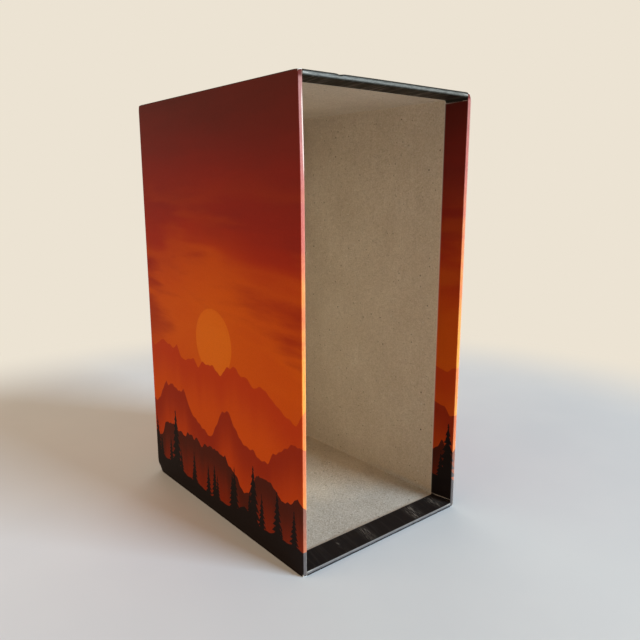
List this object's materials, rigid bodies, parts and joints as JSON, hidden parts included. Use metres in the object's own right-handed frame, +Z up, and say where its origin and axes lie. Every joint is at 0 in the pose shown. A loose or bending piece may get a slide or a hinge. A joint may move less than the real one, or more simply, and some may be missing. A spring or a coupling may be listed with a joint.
{
  "type": "board game box",
  "caption": "Rigid cardboard slipcase box, open on one tall narrow side, bare greyboard inside, with a printed paper wrap turned in round the rim of the mouth.",
  "frame": {"origin": "centre of the bottom face, on the surface that the box stands on", "axes": "+Z up along the box's height, +Y from the open mouth to the closed spine, +X across the mouth to the right side as seen from the mouth"},
  "size_m": [0.1016, 0.1424, 0.21],
  "materials": {
    "greyboard": "uncoated recycled greyboard, matt, flecked",
    "stay_tape": "brown gummed paper tape, matt",
    "side_print": "printed paper under satin film, dark red to amber picture",
    "spine_print": "printed paper under satin film, dark red",
    "end_print": "black printed paper under satin film"
  },
  "bodies": {
    "root": {"left_board": "greyboard", "right_board": "greyboard", "top_board": "greyboard", "bottom_board": "greyboard", "spine_board": "greyboard", "corner_stay_top_left": "stay_tape", "corner_stay_top_right": "stay_tape", "corner_stay_bottom_left": "stay_tape", "corner_stay_bottom_right": "stay_tape", "left_wrap": "side_print", "right_wrap": "side_print", "spine_wrap": "spine_print", "top_wrap": "end_print", "bottom_wrap": "end_print"}
  },
  "joints": []
}
